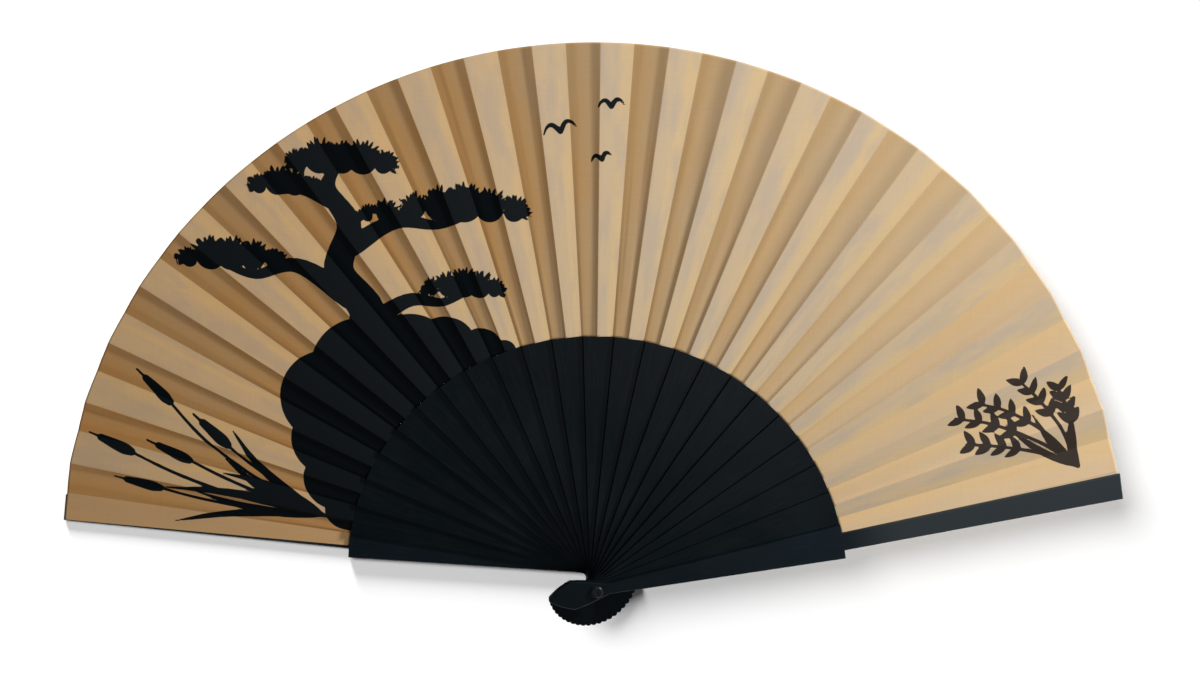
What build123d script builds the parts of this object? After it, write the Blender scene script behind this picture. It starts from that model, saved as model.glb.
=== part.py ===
from build123d import *
import os
from math import asin, cos, degrees, radians, sin, sqrt, tan

# Folding hand fan, lying open. The origin is on the rivet's axis in the plane that the rear guard
# rests on. +Z is the rivet's axis, the leaf opens towards +Y, and +X is to the right.
# Sticks are counted from the rear guard (0, lowest, at the left) to the front guard (top, right).
# Lengths are in millimetres and angles in degrees, measured anticlockwise from +X.

# ---- How the fan opens ----
INNER_STICKS = 22
FRONT_GUARD_ANGLE = 12.1
OPEN_ANGLE = 161.4

# ---- Heads and blades: the solid lower part of each stick ----
HEAD_LENGTH = 20.0
HEAD_SHOULDER = 9.9
HEAD_HALF_WIDTH = 5.8
HEAD_BULGE = 0.6
HEAD_TIP_ROUNDING = 1.3
NECK_DISTANCE = 6.0
NECK_HALF_WIDTH = 2.2
NECK_EASE = 3.5
SHOULDER_EASE = 9.5
SHOULDER_SLOPE = 0.15
BLADE_END_RADIUS = 99.2
BLADE_HALF_WIDTH = 6.95
BLADE_LEAN = 0.9

# ---- Thicknesses of the stack ----
STICK_THICKNESS = 1.0
STACK_GAP = 0.10
GUARD_THICKNESS = 2.8
GUARD_EDGE = 0.35

# ---- Guard extensions: the narrow outer part that carries the leaf's ends ----
EXTENSION_TIP_RADIUS = 212.2
EXTENSION_ROOT_HALF_WIDTH = 3.5
EXTENSION_TIP_HALF_WIDTH = 5.25
LEAF_ROOM = 1.35

# ---- Ribs: the thin slips that carry the leaf ----
RIB_END_RADIUS = 206.0
RIB_ROOT_HALF_WIDTH = 2.2
RIB_END_HALF_WIDTH = 2.7
RIB_THICKNESS = 0.35

# ---- Leaf: one pleated cloth, one fold on each side of every rib ----
LEAF_START_GAP = 0.4
LEAF_OUTER_RADIUS = 211.8
LEAF_TUCK = 0.3
CLOTH_THICKNESS = 0.2
CLOTH_GAP = 0.03
PLEAT_TILT = 10.0
SEAM_GAP = 0.3

# ---- Rivet ----
PIN_RADIUS = 1.25
PIN_CLEARANCE = 0.05
WASHER_RADIUS = 2.6
WASHER_THICKNESS = 0.4
WASHER_CLEARANCE = 0.05
RIVET_HEAD_RADIUS = 2.3
RIVET_HEAD_HEIGHT = 0.8
RIVET_HEAD_ROUNDING = 0.55
RIVET_DIMPLE_RADIUS = 0.8
RIVET_DIMPLE_DEPTH = 0.5
RIVET_TAIL_RADIUS = 2.0
RIVET_TAIL_HEIGHT = 0.35

# ---- Worked out from the sizes above ----
FRONT = INNER_STICKS + 1
STEP_ANGLE = OPEN_ANGLE / FRONT
HALF_PANEL = STEP_ANGLE / 4
STACK_PITCH = STICK_THICKNESS + STACK_GAP
FOLD_RISE = sin(radians(HALF_PANEL)) * tan(radians(PLEAT_TILT))
STACK_TOP = 2 * GUARD_THICKNESS + STACK_GAP + INNER_STICKS * STACK_PITCH
BLADE_CORNER_X = sqrt(BLADE_END_RADIUS**2 - BLADE_HALF_WIDTH**2)
EXTENSION_THICKNESS = GUARD_THICKNESS - LEAF_ROOM
LEAF_INNER_RADIUS = BLADE_END_RADIUS + LEAF_START_GAP
BORE_RADIUS = PIN_RADIUS + PIN_CLEARANCE
REAR_COUNTERBORE_DEPTH = WASHER_THICKNESS + RIVET_TAIL_HEIGHT
RIB_LIFT = (RIB_THICKNESS / 2) / cos(radians(PLEAT_TILT))
SEAM_ANGLE = SEAM_GAP / radians((LEAF_INNER_RADIUS + LEAF_OUTER_RADIUS) / 2)
END_PANEL = degrees(asin((EXTENSION_TIP_HALF_WIDTH - LEAF_TUCK) / LEAF_OUTER_RADIUS))
MOUNTAIN = 1
VALLEY = -1


def stick_angle(index):
    """Direction of a stick's rib, or of a guard."""
    return FRONT_GUARD_ANGLE + OPEN_ANGLE - index * STEP_ANGLE


def stick_base(index):
    """Height of the underside of an inner stick, or of the front guard."""
    return GUARD_THICKNESS + STACK_GAP + (index - 1) * STACK_PITCH


def blade_outline():
    """Flat outline of a head and a blade along +X, with the rivet at the origin."""
    slope = (BLADE_HALF_WIDTH - NECK_HALF_WIDTH) / (BLADE_CORNER_X - NECK_DISTANCE)
    tip = Vector(-HEAD_LENGTH, 0)
    shoulder = Vector(-HEAD_SHOULDER, HEAD_HALF_WIDTH)
    chord = tip - shoulder
    bulge = shoulder + chord * 0.5 + Vector(chord.Y, -chord.X).normalized() * HEAD_BULGE
    upper = [
        Line((BLADE_CORNER_X, BLADE_HALF_WIDTH), (NECK_DISTANCE, NECK_HALF_WIDTH)),
        Bezier(
            (NECK_DISTANCE, NECK_HALF_WIDTH),
            (NECK_DISTANCE - NECK_EASE, NECK_HALF_WIDTH - slope * NECK_EASE),
            (SHOULDER_EASE - HEAD_SHOULDER, HEAD_HALF_WIDTH - SHOULDER_SLOPE * SHOULDER_EASE),
            shoulder,
        ),
        ThreePointArc(shoulder, bulge, tip),
    ]
    lower = [mirror(edge, about=Plane.XZ) for edge in upper]
    end = ThreePointArc(
        (BLADE_CORNER_X, -BLADE_HALF_WIDTH),
        (BLADE_END_RADIUS, 0),
        (BLADE_CORNER_X, BLADE_HALF_WIDTH),
    )
    sharp = make_face(Curve() + upper + lower + end)
    return fillet(sharp.vertices().sort_by(Axis.X)[0], HEAD_TIP_ROUNDING)


def taper(start, stop, start_half_width, stop_half_width):
    """Flat outline of a bar along +X that widens evenly."""
    return make_face(
        Polyline(
            (start, -start_half_width),
            (stop, -stop_half_width),
            (stop, stop_half_width),
            (start, start_half_width),
            close=True,
        )
    )


def upright(radius, height, base=0.0):
    """Cylinder on the rivet's axis, standing on base."""
    return Pos(0, 0, base) * Cylinder(radius, height, align=(Align.CENTER, Align.CENTER, Align.MIN))


def rib():
    """Tilted slip along +X that starts at the blade's end arc, centred on height 0."""
    start = BLADE_END_RADIUS - RIB_ROOT_HALF_WIDTH
    outline = taper(start, RIB_END_RADIUS, RIB_ROOT_HALF_WIDTH, RIB_END_HALF_WIDTH)
    slip = Rot(PLEAT_TILT, 0, 0) * extrude(outline, RIB_THICKNESS / 2, both=True)
    return slip - upright(BLADE_END_RADIUS, 2 * BLADE_HALF_WIDTH, -BLADE_HALF_WIDTH)


def inner_stick():
    """Stick with its rib along +X and its underside at height 0."""
    blade = Rot(0, 0, BLADE_LEAN) * extrude(blade_outline(), STICK_THICKNESS)
    blade -= upright(BORE_RADIUS, STICK_THICKNESS)
    return blade + Pos(0, 0, STICK_THICKNESS / 2) * rib()


def guard():
    """Guard along +X with its outer face down at height 0 and its thin extension at that face."""
    blade = extrude(blade_outline(), GUARD_THICKNESS)
    extension = extrude(
        taper(
            BLADE_END_RADIUS - EXTENSION_ROOT_HALF_WIDTH,
            EXTENSION_TIP_RADIUS,
            EXTENSION_ROOT_HALF_WIDTH,
            EXTENSION_TIP_HALF_WIDTH,
        ),
        EXTENSION_THICKNESS,
    )
    solid = blade + extension
    outer_edges = solid.faces().sort_by(Axis.Z)[0].edges()
    solid = chamfer(outer_edges, GUARD_EDGE)
    return solid - upright(BORE_RADIUS, GUARD_THICKNESS)


def rear_guard():
    """Lowest guard, with a counterbore that keeps the rivet's tail above the resting plane."""
    counterbore = upright(WASHER_RADIUS + WASHER_CLEARANCE, REAR_COUNTERBORE_DEPTH)
    return Rot(0, 0, stick_angle(0)) * (guard() - counterbore)


def front_guard():
    """Top guard, turned over so that its outer face is up."""
    return Pos(0, 0, STACK_TOP) * Rot(0, 0, stick_angle(FRONT)) * Rot(180, 0, 0) * guard()


def fold_height(index, side):
    """Height of a fold, as the height at the axis and the rise per mm of radius.

    The two end panels lie flat on the guards' extensions, so their folds don't rise.
    """
    if index == 0:
        return EXTENSION_THICKNESS + CLOTH_GAP + CLOTH_THICKNESS / 2, 0.0
    if index == FRONT:
        return STACK_TOP - EXTENSION_THICKNESS - CLOTH_GAP - CLOTH_THICKNESS / 2, 0.0
    middle = stick_base(index) + STICK_THICKNESS / 2 + RIB_LIFT + CLOTH_GAP + CLOTH_THICKNESS / 2
    return middle, side * FOLD_RISE


def fold_line(index, side, seam=0.0, offset=HALF_PANEL):
    """Straight fold from the leaf's inner edge to its outer edge, moved round by a seam angle."""
    angle = radians(stick_angle(index) + side * offset + seam)
    axis_height, rise = fold_height(index, side)
    ends = [
        (radius * cos(angle), radius * sin(angle), axis_height + rise * radius - CLOTH_THICKNESS / 2)
        for radius in (LEAF_INNER_RADIUS, LEAF_OUTER_RADIUS)
    ]
    return Edge.make_line(*ends)


def panel(first_fold, second_fold):
    """Cloth between two folds."""
    underside = Face.make_surface_from_curves(first_fold, second_fold)
    return Solid.extrude(underside, (0, 0, CLOTH_THICKNESS))


def pleat(index):
    """The leaf that moves with one stick: the free panel to its left and the panel on its rib."""
    valley_before = fold_line(index - 1, VALLEY, -SEAM_ANGLE / 2)
    mountain = fold_line(index, MOUNTAIN)
    free_panel = panel(valley_before, mountain)
    if index == FRONT:
        return free_panel + panel(mountain, fold_line(index, VALLEY, offset=END_PANEL))
    return free_panel + panel(mountain, fold_line(index, VALLEY, SEAM_ANGLE / 2))


def rear_leaf_end():
    """The leaf's first panel, glued on the rear guard's extension."""
    edge = fold_line(0, MOUNTAIN, offset=END_PANEL)
    return panel(edge, fold_line(0, VALLEY, SEAM_ANGLE / 2))


def washer(base):
    """Thin washer round the pin."""
    return upright(WASHER_RADIUS, WASHER_THICKNESS, base) - upright(BORE_RADIUS, WASHER_THICKNESS, base)


def rivet():
    """Pin through the whole stack, with a peened tail below and a rolled, dimpled head on top."""
    front_washer_top = STACK_TOP + WASHER_CLEARANCE + WASHER_THICKNESS
    pin = upright(PIN_RADIUS, front_washer_top)
    tail = upright(RIVET_TAIL_RADIUS, RIVET_TAIL_HEIGHT)
    head = upright(RIVET_HEAD_RADIUS, RIVET_HEAD_HEIGHT, front_washer_top)
    rim = head.edges().filter_by(GeomType.CIRCLE).sort_by(Axis.Z)[-1]
    head = fillet(rim, RIVET_HEAD_ROUNDING)
    dimple_floor = front_washer_top + RIVET_HEAD_HEIGHT - RIVET_DIMPLE_DEPTH
    dimple = upright(RIVET_DIMPLE_RADIUS, RIVET_DIMPLE_DEPTH, dimple_floor)
    return pin + tail + (head - dimple)


def write(shape, name):
    """One STEP file for one sub-part."""
    shape.label = name
    export_step(shape, f"parts/{name}.step")


os.makedirs("parts", exist_ok=True)
write(rear_guard(), "rear_guard")
write(front_guard(), "front_guard")
write(rivet(), "rivet")
write(washer(RIVET_TAIL_HEIGHT), "washer_rear")
write(washer(STACK_TOP + WASHER_CLEARANCE), "washer_front")
write(rear_leaf_end(), "leaf_end_rear")
write(pleat(FRONT), "leaf_end_front")
straight_stick = inner_stick()
for number in range(1, FRONT):
    turned = Rot(0, 0, stick_angle(number)) * straight_stick
    write(Pos(0, 0, stick_base(number)) * turned, f"stick_{number:02d}")
    write(pleat(number), f"leaf_pleat_{number:02d}")
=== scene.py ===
import math
import random

import bpy
import numpy as np
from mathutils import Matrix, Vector


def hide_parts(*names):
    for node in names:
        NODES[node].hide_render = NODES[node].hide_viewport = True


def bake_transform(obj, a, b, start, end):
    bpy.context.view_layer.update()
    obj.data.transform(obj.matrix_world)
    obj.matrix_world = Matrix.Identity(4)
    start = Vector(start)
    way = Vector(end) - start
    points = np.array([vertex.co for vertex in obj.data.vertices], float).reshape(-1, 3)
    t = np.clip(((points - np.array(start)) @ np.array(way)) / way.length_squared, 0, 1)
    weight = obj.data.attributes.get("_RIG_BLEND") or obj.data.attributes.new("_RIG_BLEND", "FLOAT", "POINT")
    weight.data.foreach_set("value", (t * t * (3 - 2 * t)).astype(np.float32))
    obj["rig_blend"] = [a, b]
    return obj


# An open folding hand fan: black wooden sticks on one rivet and a pleated cloth leaf, painted
# with a pine on rocks, reeds and grass. Lengths are metres in the frame's coordinates, except
# where a name says mm. Angles are measured anticlockwise from +X.

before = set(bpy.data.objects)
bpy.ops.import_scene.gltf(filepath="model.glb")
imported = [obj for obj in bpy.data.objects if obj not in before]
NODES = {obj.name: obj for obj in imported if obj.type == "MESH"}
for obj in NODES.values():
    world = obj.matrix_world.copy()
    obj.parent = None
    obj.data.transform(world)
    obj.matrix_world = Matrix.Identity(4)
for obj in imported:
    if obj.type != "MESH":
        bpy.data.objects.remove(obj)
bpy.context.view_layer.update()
STICKS = sorted(name for name in NODES if name.startswith("stick_"))
PLEATS = sorted(name for name in NODES if name.startswith("leaf_pleat_"))
GUARDS = ["rear_guard", "front_guard"]
METAL = ["rivet", "washer_rear", "washer_front"]
LAST = len(STICKS) + 1
MM = 0.001
FAN_MIDDLE = Vector((0.0, 0.12, 0.015))

# ---- Eased edges of the CAD pieces, at corners sharper than EDGE_ANGLE ----
STICK_EDGE = 0.00012
GUARD_EDGE = 0.0001
METAL_EDGE = 0.00006
EDGE_ANGLE = math.radians(40)

# ---- Leaf: one pleated sheet of rows (from the inner edge out) and columns (from left to right) ----
CLOTH_THICKNESS = 0.00016
LEAF_ROWS = 150
PAINTED_COLUMNS = 22
BARE_COLUMNS = 12
# The leaf's left part, down to PINE_SIDE, and its right part, from GRASS_SIDE on, carry the picture.
PINE_SIDE = math.radians(84)
GRASS_SIDE = math.radians(36)
# The inner edge reaches a little under the blades and turns down in a small hem beside the ribs.
INNER_REACH = 0.00036
HEM_DEPTH = 0.00042
HEM_LEAST = 0.02
HEM_STEP = 0.00003
HEM_RUN = 0.004
RIB_HALF_ANGLE = 0.023
# Folds are rounded off by this height, mostly within this angle of the fold.
FOLD_PRESS = 0.00005
FOLD_PRESS_REACH = 0.005
# A CAD pleat's points within these bands belong to its inner or outer edge, or to one fold.
EDGE_BAND = 0.2 * MM
FOLD_BAND = math.radians(0.03)
WAVE_HEIGHT = 0.00009
WAVE_LENGTHS = (0.031, 0.0143)
# Height profiles across a panel, at the inner and at the outer edge. A free panel first runs beside
# the rib that will lie on it when the fan is closed, then turns up to the mountain fold.
RIB_BANDS = ((0.0, 0.0), (0.62, 0.58), (1.0, 1.0))
FREE_BANDS_INNER = ((0.0, 0.0), (0.14, 0.22), (0.86, 0.577), (1.0, 1.0))
FREE_BANDS_OUTER = ((0.0, 0.0), (0.29, 0.29), (0.71, 0.577), (1.0, 1.0))

# The leaf's flat texture coordinates cover this many outer radii.
UV_SPAN = 2.2
# Painted shade, an orange-brown tint, of a free panel from its valley fold to its mountain fold, and of the
# two end panels.
SHADED_ACROSS = ((0.0, 0.8), (0.06, 1.0), (0.4, 0.9), (0.5, 0.7), (0.84, 0.75), (0.9, 1.0), (1.0, 0.9))
SHADED_END = 0.4

# ---- Colours, linear ----
# The gold below is a painted glow of light bounced between the panels near the valley folds.
CLOTH_GLOW_GOLD = (0.70, 0.51, 0.28)
CLOTH_PALE = (0.66, 0.50, 0.315)
CLOTH_LILAC = (0.50, 0.42, 0.35)
# The orange below is painted shade for the free panels and the end panels.
CLOTH_SHADE_ORANGE = (0.76, 0.43, 0.165)
# The factor below is painted shade: the cloth darker and warmer towards the leaf's left end.
CLOTH_LEFT_SHADE = (0.97, 0.85, 0.70)
CLOTH_BACK = (0.60, 0.46, 0.29)
PAINT_BLACK = (0.0034, 0.0060, 0.0078)
PAINT_BROWN = (0.042, 0.030, 0.024)
STICK_BLACK = (0.0020, 0.0050, 0.0072)
GUARD_BLACK = (0.0032, 0.0078, 0.0118)
# The grey below is a painted sheen of the satin lacquer towards the guards' tips.
TIP_SHEEN_GREY = (0.029, 0.037, 0.042)
DARK_STEEL = (0.060, 0.066, 0.070)
FLOOR_WHITE = (0.93, 0.93, 0.93)

# ---- Camera and light. Suns are (azimuth, elevation, strength, softness), angles in degrees ----
FLOOR_HALF_SIZE = 3.0
CAMERA_PLACE_MM = (-46.5, 216.1, 625.9)
CAMERA_TURN = (-11.01, -3.97, 1.66)
CAMERA_LENS = 48.0
KEY_PLACE = (0.81, 0.65, 0.42)
KEY_SIZE = 0.18
KEY_POWER = 10.4
FRONT_PLACE = (0.24, 0.14, 0.62)
FRONT_SIZE = 0.26
FRONT_POWER = 1.25
FILL_STRENGTH = 0.095
HIGH_SUN = (138.0, 46.0, 2.42, 24.0)
LOW_SUN = (106.0, 13.0, 6.4, 12.0)


# ---------------------------------------------------------------- node helpers


class Nodes:
    """A material's node tree, with short calls for the nodes used here."""

    def __init__(self, name):
        self.material = bpy.data.materials.new(name)
        self.material.use_nodes = True
        self.tree = self.material.node_tree
        self.shader = self.tree.nodes["Principled BSDF"]

    def add(self, kind, **values):
        node = self.tree.nodes.new(kind)
        for key, value in values.items():
            setattr(node, key, value)
        return node

    def put(self, socket, value):
        """Links a socket to another, or sets its constant."""
        if isinstance(value, bpy.types.NodeSocket):
            self.tree.links.new(value, socket)
        elif value is not None:
            socket.default_value = value

    def math(self, operation, a, b=None, c=None, clamp=False):
        node = self.add("ShaderNodeMath", operation=operation, use_clamp=clamp)
        for socket, value in zip(node.inputs, (a, b, c)):
            self.put(socket, value)
        return node.outputs[0]

    def mix(self, factor, a, b, blend="MIX"):
        node = self.add("ShaderNodeMix", data_type="RGBA", blend_type=blend)
        self.put(node.inputs["Factor"], factor)
        self.put(node.inputs[6], a if isinstance(a, bpy.types.NodeSocket) else (*a, 1.0))
        self.put(node.inputs[7], b if isinstance(b, bpy.types.NodeSocket) else (*b, 1.0))
        return node.outputs[2]

    def ramp(self, value, low, high, out_low=0.0, out_high=1.0):
        node = self.add("ShaderNodeMapRange", interpolation_type="SMOOTHSTEP")
        for socket, number in zip(node.inputs, (value, low, high, out_low, out_high)):
            self.put(socket, number)
        return node.outputs[0]

    def attribute(self, name):
        return self.add("ShaderNodeAttribute", attribute_name=name).outputs["Fac"]

    def noise(self, vector, scale, detail=3.0, roughness=0.5):
        node = self.add("ShaderNodeTexNoise")
        self.put(node.inputs["Vector"], vector)
        node.inputs["Scale"].default_value = scale
        node.inputs["Detail"].default_value = detail
        node.inputs["Roughness"].default_value = roughness
        return node.outputs["Fac"]

    def split(self, vector):
        node = self.add("ShaderNodeSeparateXYZ")
        self.put(node.inputs[0], vector)
        return node.outputs

    def stretch(self, vector, scale):
        node = self.add("ShaderNodeMapping")
        self.put(node.inputs["Vector"], vector)
        node.inputs["Scale"].default_value = scale
        return node.outputs[0]

    def bump(self, height, strength, distance):
        node = self.add("ShaderNodeBump")
        node.inputs["Strength"].default_value = strength
        node.inputs["Distance"].default_value = distance
        self.put(node.inputs["Height"], height)
        self.put(self.shader.inputs["Normal"], node.outputs[0])

    def set(self, **values):
        """Sets shader sockets by name, with _ for a space."""
        for key, value in values.items():
            socket = self.shader.inputs[key.replace("_", " ")]
            self.put(socket, value)


def radial_coordinates(nodes, mean_radius):
    """Coordinates that run along the sticks: across, outwards and up, in metres."""
    x, y, z = nodes.split(nodes.add("ShaderNodeTexCoord").outputs["Object"])
    across = nodes.math("MULTIPLY", nodes.math("ARCTAN2", x, y), mean_radius)
    square = nodes.math("ADD", nodes.math("MULTIPLY", x, x), nodes.math("MULTIPLY", y, y))
    outwards = nodes.math("SQRT", square)
    joined = nodes.add("ShaderNodeCombineXYZ")
    for socket, value in zip(joined.inputs, (across, outwards, z)):
        nodes.put(socket, value)
    return joined.outputs[0]


# ---------------------------------------------------------------- materials


def lacquered_wood(name, colour, roughness, dark_head_sheen_tip=False):
    """Satin black lacquer with fine grain along the stick, duller and paler where it's handled. On a guard,
    darker towards the head and a paler grey painted sheen towards the tip.
    """
    nodes = Nodes(name)
    along = radial_coordinates(nodes, 0.06)
    grain = nodes.noise(nodes.stretch(along, (1.0, 0.05, 1.0)), 1900.0, 4.0, 0.6)
    pores = nodes.noise(nodes.stretch(along, (1.0, 0.035, 1.0)), 5200.0, 2.0)
    cloud = nodes.noise(along, 42.0, 3.0)
    lighter = tuple(2.0 * value + 0.002 for value in colour)
    streaks = nodes.ramp(grain, 0.42, 0.75)
    tone = nodes.mix(nodes.math("MULTIPLY", streaks, 0.5), colour, lighter)
    rubbed = nodes.math("MULTIPLY", nodes.ramp(cloud, 0.5, 0.8), 0.35)
    tone = nodes.mix(rubbed, tone, lighter)
    # On a guard: darker towards the head, then a paler grey towards the tip, a painted sheen of the satin
    # lacquer.
    if dark_head_sheen_tip:
        outwards = nodes.split(along)[1]
        tone = nodes.mix(nodes.ramp(outwards, 0.016, 0.07, 0.6, 0.0), tone, STICK_BLACK)
        tone = nodes.mix(nodes.ramp(outwards, 0.095, 0.125), tone, TIP_SHEEN_GREY)
    nodes.set(Base_Color=tone, Specular_IOR_Level=0.13)
    nodes.set(Roughness=nodes.ramp(cloud, 0.3, 0.7, roughness - 0.06, roughness + 0.08))
    nodes.bump(nodes.math("ADD", grain, nodes.math("MULTIPLY", pores, 0.6)), 0.25, 0.00006)
    return nodes.material


def dark_steel():
    """Darkened, burnished steel with fine scratches."""
    nodes = Nodes("dark_steel")
    place = nodes.add("ShaderNodeTexCoord").outputs["Object"]
    scratch = nodes.noise(nodes.stretch(place, (1.0, 0.12, 1.0)), 6000.0, 3.0)
    stain = nodes.noise(place, 900.0, 3.0)
    stained = tuple(0.5 * value for value in DARK_STEEL)
    nodes.set(Base_Color=nodes.mix(nodes.ramp(stain, 0.35, 0.7), DARK_STEEL, stained))
    nodes.set(Metallic=1.0, Roughness=nodes.ramp(scratch, 0.3, 0.7, 0.28, 0.46))
    nodes.bump(scratch, 0.2, 0.00003)
    return nodes.material


def cloth(name, painted):
    """Fine plain-weave cotton. The painted side has the picture, a painted glow of bounced light near the
    valley folds, and painted shade on the free panels, on the end panels and towards the left end.
    """
    nodes = Nodes(name)
    flat = nodes.add("ShaderNodeUVMap", uv_map="flat").outputs[0]
    threads_along = nodes.noise(nodes.stretch(flat, (1.0, 0.02, 1.0)), 1500.0, 2.0)
    threads_across = nodes.noise(nodes.stretch(flat, (0.02, 1.0, 1.0)), 1500.0, 2.0)
    weave = nodes.math("ADD", threads_along, threads_across)
    blotch = nodes.noise(flat, 9.0, 4.0, 0.55)
    mottle = nodes.noise(nodes.stretch(flat, (1.0, 1.6, 1.0)), 46.0, 3.0, 0.6)
    along = radial_coordinates(nodes, 0.16)
    streak = nodes.noise(nodes.stretch(along, (1.0, 0.22, 0.0)), 150.0, 3.0, 0.55)
    if painted:
        valley_glow = nodes.attribute("valley_glow")
        shaded = nodes.attribute("shaded")
        side = nodes.split(flat)[0]
        # Painted glow of bounced light near the valley folds, mixed with random mottle.
        glow_and_mottle = nodes.math("ADD", valley_glow, nodes.math("MULTIPLY", mottle, 0.5))
        tone = nodes.mix(nodes.ramp(glow_and_mottle, 0.25, 1.15), CLOTH_PALE, CLOTH_GLOW_GOLD)
        stain = nodes.ramp(streak, 0.42, 0.66, 0.0, 0.5)
        stain = nodes.math("MULTIPLY", stain, nodes.math("SUBTRACT", 1.0, shaded))
        tone = nodes.mix(stain, tone, CLOTH_LILAC)
        # Painted shade: orange-brown on the free panels and end panels, varied by random blotches and weaker
        # towards the right.
        painted_shade = nodes.math("MULTIPLY", shaded, nodes.ramp(blotch, 0.3, 0.7, 0.55, 1.15))
        painted_shade = nodes.math("MULTIPLY", painted_shade, nodes.ramp(side, 0.35, 0.8, 1.0, 0.25))
        tone = nodes.mix(painted_shade, tone, CLOTH_SHADE_ORANGE)
        # Painted shade: darker and warmer towards the leaf's left end.
        tone = nodes.mix(nodes.ramp(side, 0.6, 0.2), tone, CLOTH_LEFT_SHADE, "MULTIPLY")
    else:
        tone = nodes.mix(nodes.ramp(mottle, 0.3, 0.7), CLOTH_BACK, CLOTH_PALE)
    speck = nodes.ramp(weave, 0.75, 1.25, 0.975, 1.02)
    tint = nodes.add("ShaderNodeCombineXYZ")
    for socket in tint.inputs:
        nodes.put(socket, speck)
    tone = nodes.mix(1.0, tone, tint.outputs[0], "MULTIPLY")
    picture = nodes.attribute("picture")
    ragged = nodes.math("MULTIPLY_ADD", nodes.math("SUBTRACT", mottle, 0.5), 0.0004, picture)
    ink = nodes.ramp(ragged, 0.00012, -0.00012)
    if painted:
        paint_tone = nodes.mix(nodes.ramp(side, 0.7, 0.8), PAINT_BLACK, PAINT_BROWN)
        tone = nodes.mix(ink, tone, paint_tone)
        gloss = nodes.ramp(ink, 0.0, 1.0, 0.25, 0.09)
        nodes.set(Roughness=nodes.ramp(ink, 0.0, 1.0, 0.88, 0.6), Specular_IOR_Level=gloss)
    else:
        seeped = nodes.math("MULTIPLY", ink, nodes.ramp(blotch, 0.3, 0.7, 0.35, 0.7))
        tone = nodes.mix(seeped, tone, (0.10, 0.085, 0.07))
        nodes.set(Roughness=0.92, Specular_IOR_Level=0.25)
    nodes.set(Base_Color=tone)
    nodes.bump(weave, 0.3, 0.00005)
    return nodes.material


def floor_material():
    """Plain near-white matt floor."""
    nodes = Nodes("floor")
    place = nodes.add("ShaderNodeTexCoord").outputs["Object"]
    shade = nodes.noise(place, 3.0, 2.0)
    greyer = tuple(0.985 * value for value in FLOOR_WHITE)
    nodes.set(Base_Color=nodes.mix(shade, FLOOR_WHITE, greyer))
    nodes.set(Roughness=0.9, Specular_IOR_Level=0.1)
    return nodes.material


# ---------------------------------------------------------------- the picture, as distances in mm


def smooth_path(points, steps=7):
    """Catmull-Rom curve through rows of (x, y, half width)."""
    rows = np.array(points, float)
    padded = np.vstack([2 * rows[0] - rows[1], rows, 2 * rows[-1] - rows[-2]])
    path = []
    for a, b, c, d in zip(padded, padded[1:], padded[2:], padded[3:]):
        for t in np.arange(steps) / steps:
            square, cube = 2 * a - 5 * b + 4 * c - d, 3 * b - a - 3 * c + d
            path.append(0.5 * (2 * b + (c - a) * t + square * t**2 + cube * t**3))
    path.append(rows[-1])
    return np.array(path)


class Picture:
    """Signed distance to black brush shapes: negative inside, at most LIMIT outside."""

    LIMIT = 4.0

    def __init__(self, x, y):
        self.x, self.y = x, y
        self.distance = np.full(len(x), self.LIMIT)

    def segment(self, a, b):
        """One brush step between (x, y, half width) a and b."""
        reach = max(a[2], b[2]) + self.LIMIT
        low = np.minimum(a[:2], b[:2]) - reach
        high = np.maximum(a[:2], b[:2]) + reach
        near = (self.x > low[0]) & (self.x < high[0]) & (self.y > low[1]) & (self.y < high[1])
        if not near.any():
            return
        px, py = self.x[near] - a[0], self.y[near] - a[1]
        dx, dy = b[0] - a[0], b[1] - a[1]
        t = np.clip((px * dx + py * dy) / max(dx * dx + dy * dy, 1e-9), 0, 1)
        away = np.hypot(px - t * dx, py - t * dy) - (a[2] + t * (b[2] - a[2]))
        self.distance[near] = np.minimum(self.distance[near], away)

    def stroke(self, *points, steps=7):
        """Brush stroke through rows of (x, y, half width)."""
        path = smooth_path(points, steps)
        for a, b in zip(path, path[1:]):
            self.segment(a, b)

    def blob(self, x, y, radius):
        """Round dab of paint."""
        self.segment(np.array([x, y, radius]), np.array([x, y, radius]))

    def blade(self, x, y, heading, length, width, bend=0.0):
        """A leaf or needle that starts at (x, y), widest a third of the way, ending in a point."""
        rows = []
        for t in (0.0, 0.15, 0.4, 0.7, 1.0):
            turn = math.radians(heading + bend * t)
            half = 0.5 * width * math.sin(math.pi * t**0.75) + 0.25
            rows.append((x + length * t * math.cos(turn), y + length * t * math.sin(turn), half))
        self.stroke(*rows, steps=3)


def pine_pad(picture, chance, x, y, width, height):
    """A cloud of foliage with a flat base, and fine needles round its lobes."""
    lobes = round(1.7 * width / height)
    for k in range(lobes):
        s = 2 * k / (lobes - 1) - 1
        radius = height * (0.5 - 0.24 * s * s) * chance.uniform(0.88, 1.12)
        px, py = x + 0.5 * width * s, y + 0.75 * radius
        picture.blob(px, py, radius)
        for step in range(13):
            turn = math.radians(90 - 35 * s + 14 * (step - 6) + chance.uniform(-5, 5))
            root = 0.82 * radius
            length = chance.uniform(2.4, 3.8)
            foot = (px + root * math.cos(turn), py + root * math.sin(turn))
            picture.blade(*foot, math.degrees(turn), length, 0.8)


def rocks(picture, inner_radius):
    """Rounded boulders piled along the leaf's inner edge."""
    for angle, lift, radius in (
        (166, 3, 9), (160, 11, 13), (153, 20, 15), (146, 29, 19), (138, 25, 21),
        (130, 17, 17), (123, 12, 12), (117, 4, 9), (112.5, 0, 5),
    ):
        turn = math.radians(angle)
        for depth in (1.0, 0.4):
            r = inner_radius + depth * lift
            picture.blob(r * math.cos(turn), r * math.sin(turn), radius)


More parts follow.
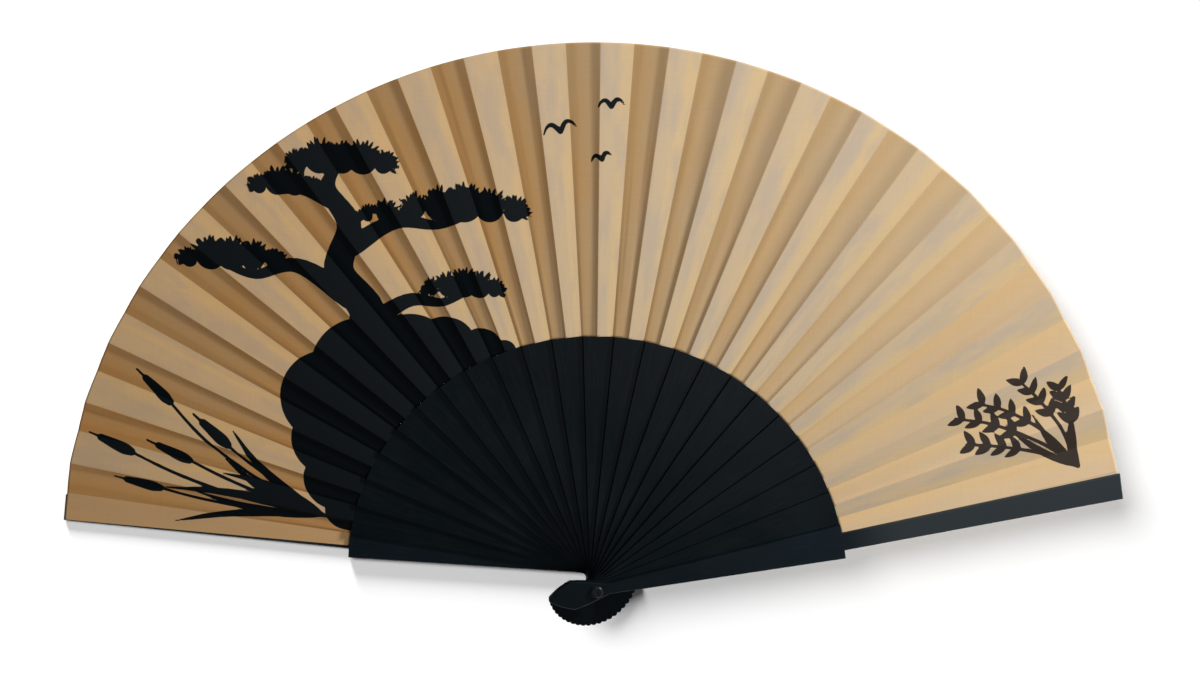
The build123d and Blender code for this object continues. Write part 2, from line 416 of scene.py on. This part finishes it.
def pine(picture, chance):
    """A leaning pine on the rocks."""
    picture.stroke(
        (-94, 86, 9), (-91, 106, 7), (-102, 122, 5.8), (-98, 140, 4.6), (-106, 154, 3), (-102, 164, 1.6)
    )
    picture.stroke((-98, 112, 4.6), (-118, 124, 3.0), (-134, 120, 1.8), (-148, 125, 1.0))
    picture.stroke((-97, 132, 4.0), (-80, 142, 2.8), (-64, 141, 1.8), (-48, 147, 0.9))
    picture.stroke((-103, 148, 2.6), (-116, 153, 1.8), (-126, 152, 1.0))
    picture.stroke((-92, 100, 4.0), (-76, 111, 2.8), (-62, 111, 1.7), (-50, 116, 0.9))
    pine_pad(picture, chance, -143, 123, 32, 12)
    pine_pad(picture, chance, -54, 144, 38, 14)
    pine_pad(picture, chance, -122, 152, 20, 9)
    pine_pad(picture, chance, -101, 161, 32, 12)
    pine_pad(picture, chance, -54, 114, 24, 9)
    pine_pad(picture, chance, -84, 142, 14, 7)


def reed(picture, foot, heading, length, bend, head=True):
    """A reed with a thin stem and a seed head like a small club."""
    rows = []
    for t in (0.0, 0.35, 0.7, 1.0):
        turn = math.radians(heading + bend * t)
        x, y = foot[0] + length * t * math.cos(turn), foot[1] + length * t * math.sin(turn)
        rows.append((x, y, 0.85 - 0.3 * t))
    picture.stroke(*rows)
    if head:
        tip, before = np.array(rows[-1][:2]), np.array(rows[-2][:2])
        way = (tip - before) / np.linalg.norm(tip - before)
        start, stop = tip - 4 * way, tip + 9 * way
        picture.stroke((*start, 1.6), (*tip, 2.3), (*stop, 1.5))
        picture.stroke((*stop, 0.6), (*(stop + 5 * way), 0.45))


def reeds(picture):
    """Reeds and long leaves at the leaf's left end."""
    foot = (-108, 22)
    for heading, length, bend in (
        (178, 70, -8), (171, 84, -10), (163, 62, -6), (156, 80, -14), (148, 52, -6),
    ):
        reed(picture, foot, heading, length, bend)
    for heading, length, width, bend in (
        (181, 52, 3.4, -12), (174, 60, 3.2, 9), (167, 46, 3.6, -18),
        (160, 66, 3.2, 10), (152, 50, 3.6, -16), (143, 44, 3.2, 14),
    ):
        picture.blade(foot[0], foot[1], heading, length, width, bend)


def grass(picture):
    """A tuft of grass with small seeds at the leaf's right end."""
    foot = (190, 52)
    for heading, length, bend in ((112, 44, 16), (128, 50, 22), (144, 54, 16), (158, 46, 12), (98, 34, 10)):
        reed(picture, foot, heading, length, bend, head=False)
        for share in (0.55, 0.68, 0.81, 0.94):
            turn = math.radians(heading + bend * share)
            x = foot[0] + length * share * math.cos(turn)
            y = foot[1] + length * share * math.sin(turn)
            for side in (-1, 1):
                picture.blade(x, y, heading + bend + 42 * side, 6.5, 2.6)
    for heading, length, bend in ((166, 34, -14), (120, 24, -20), (150, 28, -16)):
        picture.blade(foot[0], foot[1], heading, length, 2.6, bend)


def bird(picture, x, y, span, tilt):
    """A small distant bird: two curved wings."""
    for side in (-1, 1):
        rows = []
        for t, lift, half in ((0, 0, 1.0), (0.4, 0.24, 0.85), (0.75, 0.2, 0.6), (1.0, 0.02, 0.3)):
            along, up = side * 0.5 * span * t, span * lift
            rows.append((x + along * math.cos(tilt) - up * math.sin(tilt),
                         y + along * math.sin(tilt) + up * math.cos(tilt), half))
        picture.stroke(*rows, steps=4)


def paint(x, y, inner_radius):
    """Distance in metres to the picture's shapes at points given in metres."""
    picture = Picture(x / MM, y / MM)
    chance = random.Random(7)
    rocks(picture, inner_radius / MM)
    pine(picture, chance)
    reeds(picture)
    grass(picture)
    bird(picture, -18, 178, 13, 0.25)
    bird(picture, 1, 188, 10, 0.1)
    bird(picture, -2, 168, 8, 0.3)
    return picture.distance * MM


# ---------------------------------------------------------------- leaf


def mesh_points(name):
    """Vertices of a CAD node's mesh, one row each."""
    vertices = NODES[name].data.vertices
    flat = np.empty(3 * len(vertices))
    vertices.foreach_get("co", flat)
    return flat.reshape(-1, 3)


def fold_edge(points, which):
    """(angle, height at the inner edge, height at the outer edge) of one fold of a CAD pleat."""
    radius = np.hypot(points[:, 0], points[:, 1])
    angle = np.arctan2(points[:, 1], points[:, 0])
    outer = radius > radius.max() - EDGE_BAND
    rim_angle, rim_height = angle[outer], points[outer, 2]
    picks = {"left": rim_angle.max(), "right": rim_angle.min(), "top": rim_angle[rim_height.argmax()]}
    chosen = picks[which]
    on_fold = np.abs(angle - chosen) < FOLD_BAND
    inner = on_fold & (radius < radius.min() + EDGE_BAND)
    return chosen, points[inner, 2].mean(), points[on_fold & outer, 2].mean()


def leaf_folds():
    """Every fold from the leaf's left end to its right end, measured on the CAD pleats."""
    pleats = [mesh_points(name) for name in ("leaf_end_rear", *PLEATS, "leaf_end_front")]
    folds = [fold_edge(pleats[0], "left")]
    for pleat, following in zip(pleats, pleats[1:]):
        seam = zip(fold_edge(pleat, "right"), fold_edge(following, "left"))
        folds.append(tuple(0.5 * (before + after) for before, after in seam))
        folds.append(fold_edge(following, "top"))
    folds.append(fold_edge(pleats[-1], "right"))
    return folds


def panel_profiles(share, rib_panel, last_free):
    """Share of the way from one fold's height to the next, at the inner and at the outer edge."""
    if last_free:
        return share, share
    if rib_panel:
        return (np.interp(share, *zip(*RIB_BANDS)),) * 2
    return np.interp(share, *zip(*FREE_BANDS_INNER)), np.interp(share, *zip(*FREE_BANDS_OUTER))


def panel_columns(folds, k):
    """Columns of panel k, from its left fold up to the next panel's: one array of each quantity."""
    panels = len(folds) - 1
    stick = (k + 1) // 2
    rib_panel = k % 2 == 0
    end_panel = k in (0, panels - 1)
    left, right = folds[k], folds[k + 1]
    middle = 0.5 * (left[0] + right[0])
    width = abs(right[0] - left[0])

    count = PAINTED_COLUMNS if middle > PINE_SIDE or middle < GRASS_SIDE else BARE_COLUMNS
    share = 0.5 - 0.5 * np.cos(np.pi * np.arange(count) / count)
    if k == panels - 1:
        share = np.append(share, 1.0)
    inner_profile, outer_profile = panel_profiles(share, rib_panel, k == panels - 2)
    if rib_panel:
        weight = np.full(len(share), stick / LAST)
        # Painted glow of bounced light, growing towards the valley fold.
        valley_glow = 0.0 * share if end_panel else np.clip((share - 0.5) / 0.2, 0, 1)
        # Painted shade on the end panels only.
        shaded = np.full(len(share), SHADED_END if end_panel else 0.0)
    else:
        weight = (stick - 1 + share) / LAST
        # Painted glow of bounced light, fading from the valley fold to the mountain fold.
        valley_glow = 1.0 - share
        # Painted shade across the free panel.
        shaded = np.interp(share, *zip(*SHADED_ACROSS))
    beside_rib = np.where(rib_panel, np.abs(share - 0.5), 1.0) * width - RIB_HALF_ANGLE
    to_fold = np.minimum(share, 1 - share) * width
    towards_mountain = (share < 0.5) == rib_panel
    press = 0.0 if end_panel else FOLD_PRESS
    return {
        "angle": left[0] + (right[0] - left[0]) * share,
        "low": left[1] + (right[1] - left[1]) * inner_profile,
        "high": left[2] + (right[2] - left[2]) * outer_profile,
        "weight": weight,
        "valley_glow": valley_glow,
        "shaded": shaded,
        "press": np.where(towards_mountain, -press, press) * np.exp(-to_fold / FOLD_PRESS_REACH),
        "hem": HEM_DEPTH * np.clip(beside_rib / HEM_RUN, HEM_LEAST, 1.0),
    }


def build_leaf():
    """The whole leaf as one pleated sheet, from fold to fold, bent later by its blend weights."""
    folds = leaf_folds()
    points = mesh_points(PLEATS[len(PLEATS) // 2])
    radius = np.hypot(points[:, 0], points[:, 1])
    inner, outer = radius.min() - INNER_REACH, radius.max()
    panels = [panel_columns(folds, k) for k in range(len(folds) - 1)]
    across = {key: np.concatenate([panel[key] for panel in panels]) for key in panels[0]}
    columns = len(across["angle"])

    rows = np.append(0.0, np.linspace(0.0, 1.0, LEAF_ROWS - 1))[:, None]
    reach = inner + (outer - inner) * rows
    reach[1] += HEM_STEP
    x = reach * np.cos(across["angle"])
    y = reach * np.sin(across["angle"])
    z = across["low"] + (across["high"] - across["low"]) * rows
    z += across["press"] * (0.4 + 0.6 * rows)
    z += cloth_waves(reach, across["weight"])
    z[0] -= across["hem"]
    vertices = np.stack([x, y, z], axis=2).reshape(-1, 3)
    index = np.arange(LEAF_ROWS * columns).reshape(LEAF_ROWS, columns)
    faces = np.stack([index[:-1, :-1], index[:-1, 1:], index[1:, 1:], index[1:, :-1]], axis=2)
    mesh = bpy.data.meshes.new("leaf")
    mesh.from_pydata(vertices.tolist(), [], faces.reshape(-1, 4).tolist())
    mesh.shade_smooth()

    # The glow and shade attributes carry the painted bounced light and the painted shade to the cloth
    # material.
    tints = {key: np.tile(across[key], LEAF_ROWS) for key in ("valley_glow", "shaded", "weight")}
    tints["picture"] = paint(vertices[:, 0], vertices[:, 1], inner)
    for key in ("valley_glow", "shaded", "picture"):
        attribute = mesh.attributes.new(key, "FLOAT", "POINT")
        attribute.data.foreach_set("value", tints[key].astype(np.float32))
    layer = mesh.uv_layers.new(name="flat")
    loops = np.empty(len(mesh.loops), int)
    mesh.loops.foreach_get("vertex_index", loops)
    flat = vertices[loops, :2] / (UV_SPAN * outer) + 0.5
    layer.data.foreach_set("uv", flat.astype(np.float32).reshape(-1))

    leaf = bpy.data.objects.new("leaf", mesh)
    bpy.context.scene.collection.objects.link(leaf)
    leaf.data.materials.append(cloth("cloth_front", painted=True))
    leaf.data.materials.append(cloth("cloth_back", painted=False))
    thickness = leaf.modifiers.new("thickness", "SOLIDIFY")
    thickness.thickness = CLOTH_THICKNESS
    thickness.offset = 0.0
    thickness.material_offset = 1
    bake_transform(leaf, "rear_guard", "front_guard", (-outer, 0, 0), (outer, 0, 0))
    mesh.attributes["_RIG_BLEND"].data.foreach_set("value", tints["weight"].astype(np.float32))
    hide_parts("leaf_end_rear", "leaf_end_front", *PLEATS)
    return leaf


def cloth_waves(reach, weight):
    """Slight ripples and sag of the cloth between its ribs, different on each panel."""
    chance = np.random.default_rng(3)
    phase = chance.uniform(0, 2 * np.pi, 4 * LAST)
    size = chance.uniform(0.3, 1.0, 4 * LAST)
    which = np.round(weight * LAST * 2).astype(int)
    long_wave, short_wave = WAVE_LENGTHS
    wave = np.sin(reach / long_wave + phase[which]) + 0.6 * np.sin(reach / short_wave + phase[which + LAST])
    across = np.sin(np.pi * ((weight * LAST) % 1.0))
    return WAVE_HEIGHT * size[which] * wave * across


# ---------------------------------------------------------------- stage


def sun(name, azimuth, elevation, strength, softness):
    """Sunlight from a direction."""
    light = bpy.data.lights.new(name, "SUN")
    light.energy = strength
    light.angle = math.radians(softness)
    turn, rise = math.radians(azimuth), math.radians(elevation)
    towards = Vector((math.cos(rise) * math.cos(turn), math.cos(rise) * math.sin(turn), math.sin(rise)))
    return placed(name, light, towards, towards)


def soft_lamp(name, place, size, power):
    """Round soft lamp that faces the fan."""
    light = bpy.data.lights.new(name, "AREA")
    light.shape = "DISK"
    light.size = size
    light.energy = power
    return placed(name, light, place, Vector(place) - FAN_MIDDLE)


def placed(name, light, place, towards):
    """A lamp in the scene whose back looks along towards."""
    lamp = bpy.data.objects.new(name, light)
    lamp.location = place
    lamp.rotation_euler = towards.to_track_quat("Z", "Y").to_euler()
    bpy.context.scene.collection.objects.link(lamp)
    return lamp


def group_of(name, objects):
    """A collection of objects for light linking."""
    group = bpy.data.collections.new(name)
    for thing in objects:
        group.objects.link(thing)
    return group


def only_lights(lamp, objects, shaded_by=None):
    """The lamp lights these objects and no others, and only some objects may block it."""
    lamp.light_linking.receiver_collection = group_of(lamp.name + "_lights", objects)
    if shaded_by:
        lamp.light_linking.blocker_collection = group_of(lamp.name + "_blockers", shaded_by)


def build_stage(fan):
    """Floor, lamps and world. Two lamps light the fan alone and two suns light the floor alone."""
    mesh = bpy.data.meshes.new("floor")
    half = FLOOR_HALF_SIZE
    corners = [(-half, -half, 0), (half, -half, 0), (half, half, 0), (-half, half, 0)]
    mesh.from_pydata(corners, [], [(0, 1, 2, 3)])
    mesh.materials.append(floor_material())
    floor = bpy.data.objects.new("floor", mesh)
    bpy.context.scene.collection.objects.link(floor)

    only_lights(soft_lamp("key", KEY_PLACE, KEY_SIZE, KEY_POWER), fan)
    only_lights(soft_lamp("front", FRONT_PLACE, FRONT_SIZE, FRONT_POWER), fan)
    only_lights(sun("high_sun", *HIGH_SUN), [floor])
    only_lights(sun("low_sun", *LOW_SUN), [floor], shaded_by=[NODES["rear_guard"]])

    world = bpy.data.worlds.new("studio")
    bpy.context.scene.world = world
    world.use_nodes = True
    tree = world.node_tree
    background = tree.nodes["Background"]
    path = tree.nodes.new("ShaderNodeLightPath")
    seen = tree.nodes.new("ShaderNodeMapRange")
    tree.links.new(path.outputs["Is Camera Ray"], seen.inputs["Value"])
    seen.inputs["To Min"].default_value = FILL_STRENGTH
    seen.inputs["To Max"].default_value = 1.0
    tree.links.new(seen.outputs[0], background.inputs["Strength"])
    background.inputs["Color"].default_value = (1, 1, 1, 1)


def build_camera():
    """Camera above the fan, nearly straight down."""
    camera = bpy.data.cameras.new("camera")
    camera.lens = CAMERA_LENS
    camera.clip_start = 0.01
    holder = bpy.data.objects.new("camera", camera)
    holder.location = Vector(CAMERA_PLACE_MM) * MM
    holder.rotation_euler = [math.radians(angle) for angle in CAMERA_TURN]
    bpy.context.scene.collection.objects.link(holder)
    bpy.context.scene.camera = holder


def dress(names, material, edge):
    """Gives CAD nodes a material and slightly eased edges."""
    for name in names:
        node = NODES[name]
        node.data.materials.clear()
        node.data.materials.append(material)
        ease = node.modifiers.new("eased_edges", "BEVEL")
        ease.width = edge
        ease.segments = 2
        ease.limit_method = "ANGLE"
        ease.angle_limit = EDGE_ANGLE


dress(STICKS, lacquered_wood("stick_wood", STICK_BLACK, 0.42), STICK_EDGE)
dress(GUARDS, lacquered_wood("guard_wood", GUARD_BLACK, 0.5, dark_head_sheen_tip=True), GUARD_EDGE)
dress(METAL, dark_steel(), METAL_EDGE)
leaf = build_leaf()
shown = [NODES[name] for name in (*STICKS, *GUARDS, *METAL)]
build_stage([leaf, *shown])
build_camera()
bpy.context.scene.view_settings.view_transform = "Standard"
